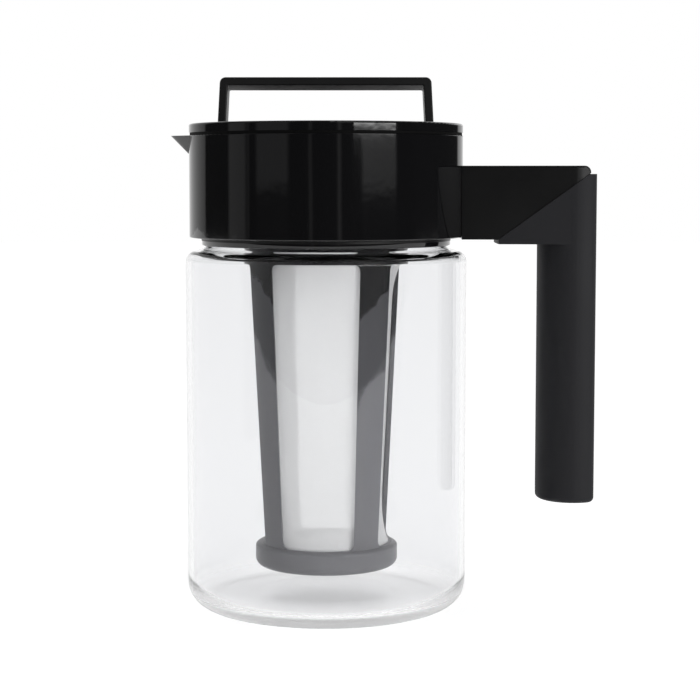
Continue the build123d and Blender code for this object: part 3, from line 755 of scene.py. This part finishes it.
@dataclass
class Collar:
    """The glossy collar with its pouring beak, and the sleeve inside it.

    The beak is a rounded spout that narrows downwards into the wall, as on a jug.
    """

    finish: Finish = GLOSS_BLACK
    sleeve: Finish = SATIN_BLACK
    press: float = 0.1 * MM
    beak_half_width: float = 9.5 * MM
    beak_depth: float = 7.0 * MM
    beak_wall: float = 1.2 * MM
    beak_nose: float = 1.0 * MM
    beak_share: float = 0.5
    beak_columns: int = 32
    beak_rows: int = 16
    foot_radius: float = 47.3 * MM
    foot_wall: float = 1.5 * MM
    foot_height: float = 1.8 * MM
    foot_round: float = 0.4 * MM
    foot_segments: int = 3
    foot_turns: int = 180

    def __post_init__(self) -> None:
        """Read the collar's box, and the radius of its outer wall."""
        self.low, self.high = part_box("collar")
        self.wall = self.high[1]

    def shell(self) -> None:
        """Copy the collar with its plain spout pressed back into the wall."""
        bm = bmesh.new()
        bm.from_mesh(NODES["collar"].data)
        bmesh.ops.remove_doubles(bm, verts=bm.verts, dist=MERGE)
        for vertex in bm.verts:
            radius = vertex.co.xy.length
            if vertex.co.x < 0 and radius > self.wall + self.press / 2:
                vertex.co.xy *= (self.wall - self.press) / radius
        shell = make_piece("collar_shell", bm, self.finish, Body.PITCHER)
        weigh_normals(shell)
        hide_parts("collar")

    def beak_point(self, across: float, up: float) -> Vector:
        """Return a point of the beak's outer face, or of the wall beside it.

        The middle columns cover the beak, whose nose is round, and the outer ones the wall.

        Args:
            across: From -1 to 1 over the beak's width at the rim.
            up: From 0 at the beak's foot to 1 at the rim.

        Returns:
            The point, in metres.
        """
        half = self.beak_half_width * up
        share = abs(across) / self.beak_share
        if share < 1:
            side = share * half
            drop = math.hypot(side, self.beak_nose) - self.beak_nose
            full_drop = math.hypot(half, self.beak_nose) - self.beak_nose
            fall = drop / max(full_drop, NEARLY_ZERO)
            out = (-self.low[0] - self.wall) * up * (1 - fall)
        else:
            outer_share = (abs(across) - self.beak_share) / (1 - self.beak_share)
            side = half + outer_share * (self.beak_half_width - half)
            out = 0.0
        height = self.high[2] - (1 - up) * self.beak_depth
        return Vector((-math.sqrt(self.wall ** 2 - side ** 2) - out, math.copysign(side, across),
                       height))

    def beak(self) -> None:
        """Make the beak from a grid that is pulled out of the wall and given a thickness."""
        bm = bmesh.new()
        bmesh.ops.create_grid(bm, x_segments=self.beak_columns, y_segments=self.beak_rows, size=1.0)
        for vertex in bm.verts:
            vertex.co = self.beak_point(vertex.co.x, (vertex.co.y + 1) / 2)
        bmesh.ops.remove_doubles(bm, verts=bm.verts, dist=MERGE)
        bmesh.ops.reverse_faces(bm, faces=bm.faces)
        bmesh.ops.solidify(bm, geom=bm.faces[:], thickness=self.beak_wall)
        for vertex in bm.verts:
            vertex.co.z = min(vertex.co.z, self.high[2])
        bmesh.ops.recalc_face_normals(bm, faces=bm.faces)
        make_piece("spout_beak", bm, self.finish, Body.PITCHER)

    def sleeve_foot(self) -> None:
        """Make the rounded foot of the sleeve, which shows between the collar and the shoulder."""
        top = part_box("neck_ring")[0][2]
        foot = top - self.foot_height
        outer, inner = self.foot_radius, self.foot_radius - self.foot_wall
        section = [Corner(inner, top), Corner(outer, top), Corner(outer, foot, self.foot_round),
                   Corner(inner, foot, self.foot_round)]
        bm = turn_outline(section, self.foot_turns, self.foot_segments)
        make_piece("sleeve_foot", bm, self.finish, Body.PITCHER)

    def build(self) -> None:
        """Make the collar, its beak and the sleeve's foot, and dress the sleeve."""
        self.shell()
        self.beak()
        self.sleeve_foot()
        dress("neck_ring", self.sleeve)


@dataclass
class Handle:
    """Arm, soft sleeve and screw."""

    arm: Finish = SATIN_BLACK
    grip: Finish = SOFT_CHARCOAL
    steel: Finish = SCREW_STEEL
    head_height: float = 1.8 * MM
    head_chamfer: float = 0.8 * MM
    dome_across: float = 0.3
    dome_up: float = 0.4
    shank_share: float = 0.52
    recess_radius: float = 1.35 * MM
    recess_depth: float = 1.1 * MM
    recess_lobes: int = 6
    lobe_reach: float = 0.16
    turns: int = 48

    def __post_init__(self) -> None:
        """Read the screw's box."""
        self.low, self.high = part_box("handle_screw")

    def screw_outline(self) -> list[Corner]:
        """Return the screw's outline from its recess round the head to the tip.

        Returns:
            The corners, in order.
        """
        foot, tip = self.low[2], self.high[2]
        head = (self.high[0] - self.low[0]) / 2
        shank = head * self.shank_share
        chamfer = self.head_chamfer
        return [
            Corner(0, foot + self.recess_depth),
            Corner(self.recess_radius, foot + self.recess_depth),
            Corner(self.recess_radius, foot),
            Corner(head - chamfer, foot),
            Corner(head - chamfer * self.dome_across, foot + chamfer * self.dome_up),
            Corner(head, foot + chamfer),
            Corner(head, foot + self.head_height),
            Corner(shank, foot + self.head_height),
            Corner(shank, tip - shank),
            Corner(0, tip),
        ]

    def screw(self) -> None:
        """Make the screw, with a six-lobed recess in its head."""
        bm = turn_outline(self.screw_outline(), self.turns)
        for vertex in bm.verts:
            if abs(vertex.co.xy.length - self.recess_radius) < MERGE:
                turn = math.atan2(vertex.co.y, vertex.co.x)
                vertex.co.xy *= 1 + self.lobe_reach * math.cos(self.recess_lobes * turn)
        middle = (Vector(self.low) + Vector(self.high)) / 2
        bmesh.ops.translate(bm, verts=bm.verts, vec=(middle.x, middle.y, 0))
        bmesh.ops.recalc_face_normals(bm, faces=bm.faces)
        screw = make_piece("arm_screw", bm, self.steel, Body.PITCHER)
        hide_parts("handle_screw")

    def build(self) -> None:
        """Dress the handle and make its screw."""
        dress("handle_core", self.arm)
        dress("grip_sleeve", self.grip)
        self.screw()


@dataclass
class Lid:
    """Lid cover, plug, seals and bail, which all keep their plain solids."""

    moulding: Finish = GLOSS_BLACK
    strap: Finish = BAIL_BLACK
    seal: Finish = SEAL_BLACK
    gasket: Finish = SILICONE

    def build(self) -> None:
        """Dress the lid."""
        dress("lid_cover", self.moulding)
        dress("lid_plug", self.moulding)
        dress("bail", self.strap)
        dress("rim_seal", self.seal)
        dress("plug_gasket", self.gasket)


@dataclass
class Filter:
    """The conical filter that hangs from the lid, with its panels of fine mesh.

    Each panel is welded behind two ribs. It is round where it meets the frame's ends and pulled
    nearly flat between them, with faint creases that run in from its corners.
    """

    plastic: Finish = RIB_PLASTIC
    nylon: Finish = MESH
    gasket: Finish = SILICONE
    panels: int = 4
    first_angle: float = 37.4  # bearing of the rib before the first panel, in degrees
    foot_radius: float = 25.3 * MM
    top_radius: float = 31.4 * MM
    frame_wall: float = 1.3 * MM
    window_half_angle: float = 32.0
    lap: float = 1.5 * MM  # how far a panel reaches behind each rib
    bulge: float = 0.3 * MM  # how far its flat part stands out in the middle
    tension: float = 6.0  # the more, the shorter its round ends
    cloth: float = 0.2 * MM
    crease: float = 0.12 * MM
    creases: float = 5.0
    columns: int = 48
    rows: int = 96

    def cloth_point(self, across: float, up: float, low_z: float, high_z: float) -> Vector:
        """Return a point of the mesh, before the panel is turned to its window.

        Args:
            across: From -1 at one rib to 1 at the other.
            up: From 0 at the foot to 1 at the top.
            low_z: Height of the panel's foot.
            high_z: Height of its top.

        Returns:
            The point, in metres, with +X outwards.
        """
        radius = self.foot_radius + (self.top_radius - self.foot_radius) * up - self.frame_wall
        half = radius * math.sin(math.radians(self.window_half_angle)) + self.lap
        edge = math.sqrt(radius ** 2 - half ** 2)
        crown = 1 - across ** 2
        to_end = abs(2 * up - 1)
        roundness = to_end ** self.tension
        middle = roundness * (radius - edge) + (1 - roundness) * self.bulge
        corner = (to_end * abs(across)) ** 2
        fold = math.sin(self.creases * math.pi * (abs(across) + to_end))
        out = edge + (middle - self.crease * corner * fold) * crown - self.cloth
        return Vector((out, across * half, low_z + up * (high_z - low_z)))

    def panel(self, index: int) -> None:
        """Make one panel of mesh, with a map in metres for its weave.

        Args:
            index: The panel's number, from 0.
        """
        node = f"mesh_panel_{index + 1}"
        low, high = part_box(node)
        bm = bmesh.new()
        bmesh.ops.create_grid(bm, x_segments=self.columns, y_segments=self.rows, size=1.0)
        for vertex in bm.verts:
            vertex.co = self.cloth_point(vertex.co.x, (vertex.co.y + 1) / 2, low[2], high[2])
        weave = bm.loops.layers.uv.new("weave")
        for face in bm.faces:
            for loop in face.loops:
                loop[weave].uv = loop.vert.co.yz
        turn = math.radians(self.first_angle + (index + 0.5) * 360 / self.panels)
        bmesh.ops.rotate(bm, verts=bm.verts, cent=(0, 0, 0), matrix=Matrix.Rotation(turn, 3, "Z"))
        bmesh.ops.recalc_face_normals(bm, faces=bm.faces)
        piece = make_piece(f"mesh_cloth_{index + 1}", bm, self.nylon, Body.FILTER)
        thickness = piece.modifiers.new("cloth", "SOLIDIFY")
        thickness.thickness = self.cloth
        thickness.offset = 0.0
        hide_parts(node)

    def build(self) -> None:
        """Dress the frame and make the panels."""
        for node in ("filter_collar", "filter_frame", "filter_floor"):
            dress(node, self.plastic)
        dress("filter_gasket", self.gasket)
        for index in range(self.panels):
            self.panel(index)


@dataclass
class Studio:
    """Camera, floor, lamp and surroundings."""

    lens: float = 98.4
    sensor: float = 36.0
    camera_place: Triple = (9.1 * MM, -731 * MM, 164.3 * MM)
    camera_pitch: float = 5.17
    floor_half: float = 4.0
    floor_front: float = 0.75  # it ends just behind the camera
    floor_drop: float = 0.1 * MM  # so that no face of it lies in the jar's base
    floor_colour: Colour = (0.86, 0.86, 0.86)
    floor_grain: float = 0.01
    floor_grain_scale: float = 40.0
    floor_lift: float = 0.5
    floor_lift_through: float = 0.02
    sky: float = 0.62
    key_direction: float = 41.0
    key_distance: float = 2.0
    key_width: float = 1.3
    key_height: float = 0.5
    key_low: float = 0.237
    key_power: float = 16.0

    def camera(self) -> None:
        """Stand the camera where the photograph was taken from."""
        data = bpy.data.cameras.new("camera")
        data.lens = self.lens
        data.sensor_width = self.sensor
        camera = bpy.data.objects.new("camera", data)
        camera.location = self.camera_place
        camera.rotation_euler = (math.radians(90 - self.camera_pitch), 0, 0)
        bpy.context.scene.collection.objects.link(camera)
        bpy.context.scene.camera = camera

    def floor(self) -> None:
        """Lay a pale floor, which looks white where no shadow falls on it."""
        bm = bmesh.new()
        bmesh.ops.create_grid(bm, x_segments=1, y_segments=1, size=self.floor_half)
        for vertex in bm.verts:
            vertex.co.z = -self.floor_drop
            if vertex.co.y < 0:
                vertex.co.y = -self.floor_front
        mesh = bpy.data.meshes.new("floor")
        bm.to_mesh(mesh)
        bm.free()
        floor = bpy.data.objects.new("floor", mesh)
        bpy.context.scene.collection.objects.link(floor)
        shading = Shading(bpy.data.materials.new("pale_floor"))
        matte = shading.node("BsdfDiffuse", {"Color": shading.blend(
            shading.noise(self.floor_grain_scale), rgba(self.floor_colour),
            rgba(shaded(self.floor_colour, 1 + self.floor_grain)))})
        glow = shading.node("Emission", {"Strength": self.floor_glow(shading)})
        both = shading.node("AddShader", {0: matte.outputs[0], 1: glow.outputs[0]})
        mesh.materials.append(shading.surface(both.outputs[0]))

    def floor_glow(self, shading: Shading) -> bpy.types.NodeSocket:
        """Return what lifts the floor to white, for the rays that show it as a background.

        Args:
            shading: The floor's node tree.

        Returns:
            The strength's socket.
        """
        path = shading.node("LightPath").outputs
        straight = shading.maths("MAXIMUM", path["Is Camera Ray"], path["Is Glossy Ray"])
        return shading.maths(
            "ADD", shading.maths("MULTIPLY", straight, self.floor_lift),
            shading.maths("MULTIPLY", path["Is Transmission Ray"], self.floor_lift_through))

    def surroundings(self) -> None:
        """Surround the object with a white backdrop behind and a dim studio in front."""
        world = bpy.data.worlds.new("studio")
        bpy.context.scene.world = world
        shading = WorldShading(world)
        path = shading.node("LightPath").outputs
        white = (1, 1, 1, 1)
        plain = shading.node("Background", {"Color": white, "Strength": self.sky})
        backdrop = shading.node("Background", {"Color": white, "Strength": 1.0})
        mirrored = shading.node("Background", {"Color": shading.mirrored_studio(), "Strength": 1.0})
        seen = shading.maths("MAXIMUM", path["Is Camera Ray"], path["Is Transmission Ray"])
        lit = shading.mix(path["Is Glossy Ray"], plain.outputs[0], mirrored.outputs[0])
        shading.node("OutputWorld", {"Surface": shading.mix(seen, lit, backdrop.outputs[0])})

    def key_lamp(self) -> None:
        """Stand the soft key lamp in front, to the right. Its foot shows in the lid's rim."""
        data = bpy.data.lights.new("key", "AREA")
        data.shape = "RECTANGLE"
        data.size = self.key_width
        data.size_y = self.key_height
        data.energy = self.key_power
        lamp = bpy.data.objects.new("key", data)
        angle = math.radians(self.key_direction)
        lamp.location = (math.sin(angle) * self.key_distance, -math.cos(angle) * self.key_distance,
                         self.key_low + self.key_height / 2)
        lamp.rotation_euler = (math.radians(90), 0, angle)
        lamp.visible_camera = False
        bpy.context.scene.collection.objects.link(lamp)

    def build(self) -> None:
        """Set up the whole studio."""
        self.camera()
        self.floor()
        self.surroundings()
        self.key_lamp()
        bpy.context.scene.view_settings.view_transform = "Standard"


@dataclass(frozen=True)
class Card:
    """A lit card or wall of the studio, as the glossy pieces mirror it.

    Bearings and the soft edge are in degrees, from the camera's side to the right. Below the
    studio's horizon the card has only a share of its brightness.
    """

    start: float
    end: float
    start_level: float
    end_level: float
    edge: float
    below: float = 1.0

    def stops(self, dark: float, under: bool) -> list[tuple[float, float]]:
        """Return the card's corners as pairs of bearing and brightness.

        Args:
            dark: Brightness of the room beside the card.
            under: Whether the part below the studio's horizon is wanted.

        Returns:
            The pairs, in order, inside the full circle.
        """
        share = self.below if under else 1.0
        corners = [(self.start - self.edge, dark), (self.start, self.start_level * share),
                   (self.end, self.end_level * share), (self.end + self.edge, dark)]
        return [corner for corner in corners if abs(corner[0]) <= 180]


class WorldShading(Shading):
    """The node tree of the surroundings."""

    ROOM = 0.03  # brightness between the cards
    HORIZON = -0.008  # height on the sphere of directions below which a card is dimmed
    HAZE = 0.004  # how far the horizon fades, up and down
    CARDS = {
        "back wall, left": Card(-180, -120, 1.25, 0.38, 1.5),
        "left card": Card(-85.5, -70.5, 0.34, 0.3, 3),
        "slit beside it": Card(-66.8, -66.2, 0.16, 0.16, 1.5),
        "front left": Card(-57, -32, 0.24, 0.24, 3, below=0.2),
        "camera stand, left edge": Card(-12.3, -11.7, 0.2, 0.2, 2),
        "camera stand, right edge": Card(11.2, 11.8, 0.3, 0.3, 2),
        "front right": Card(32, 59, 0.5, 0.42, 3, below=0.11),
        "back wall, right": Card(147, 180, 0.7, 1.2, 4),
    }

    def mirrored_studio(self) -> bpy.types.NodeSocket:
        """Return the brightness of the studio round the object, by its bearing from the front.

        Returns:
            The colour's socket.
        """
        right, back, up = self.parts(self.node("TexCoord").outputs["Generated"])
        bearing = self.maths("ARCTAN2", right, self.maths("MULTIPLY", back, -1.0))
        share = self.span(bearing, 0.0, 1.0, -math.pi, math.pi)
        above = self.span(up, 0.0, 1.0, self.HORIZON - self.HAZE, self.HORIZON + self.HAZE)
        return self.blend(above, self.ring(share, under=True), self.ring(share, under=False))

    def ring(self, share: bpy.types.NodeSocket, under: bool) -> bpy.types.NodeSocket:
        """Return the brightness of the cards round the object.

        Args:
            share: The bearing, from 0 to 1 over the full circle.
            under: Whether the part below the studio's horizon is wanted.

        Returns:
            The colour's socket.
        """
        ramp = self.node("ValToRGB", {0: share})
        corners = [(angle / 360 + 0.5, level) for card in self.CARDS.values()
                   for angle, level in card.stops(self.ROOM, under)]
        stops = ramp.color_ramp.elements
        # A new ramp already has two stops
        for place, _ in corners[len(stops):]:
            stops.new(place)
        for stop, (place, _) in zip(stops, corners):
            stop.position = place
        for stop, (_, level) in zip(stops, corners):
            stop.color = rgba((level, level, level))
        return ramp.outputs[0]


def main() -> None:
    """Build the studio and every sub-assembly in order."""
    logging.basicConfig(level=logging.INFO, format="%(name)s %(message)s")
    for part in (Studio(), Jar(), Collar(), Handle(), Lid(), Filter()):
        part.build()
        LOG.info("%s is done", type(part).__name__)


if __name__ == "__main__":
    main()
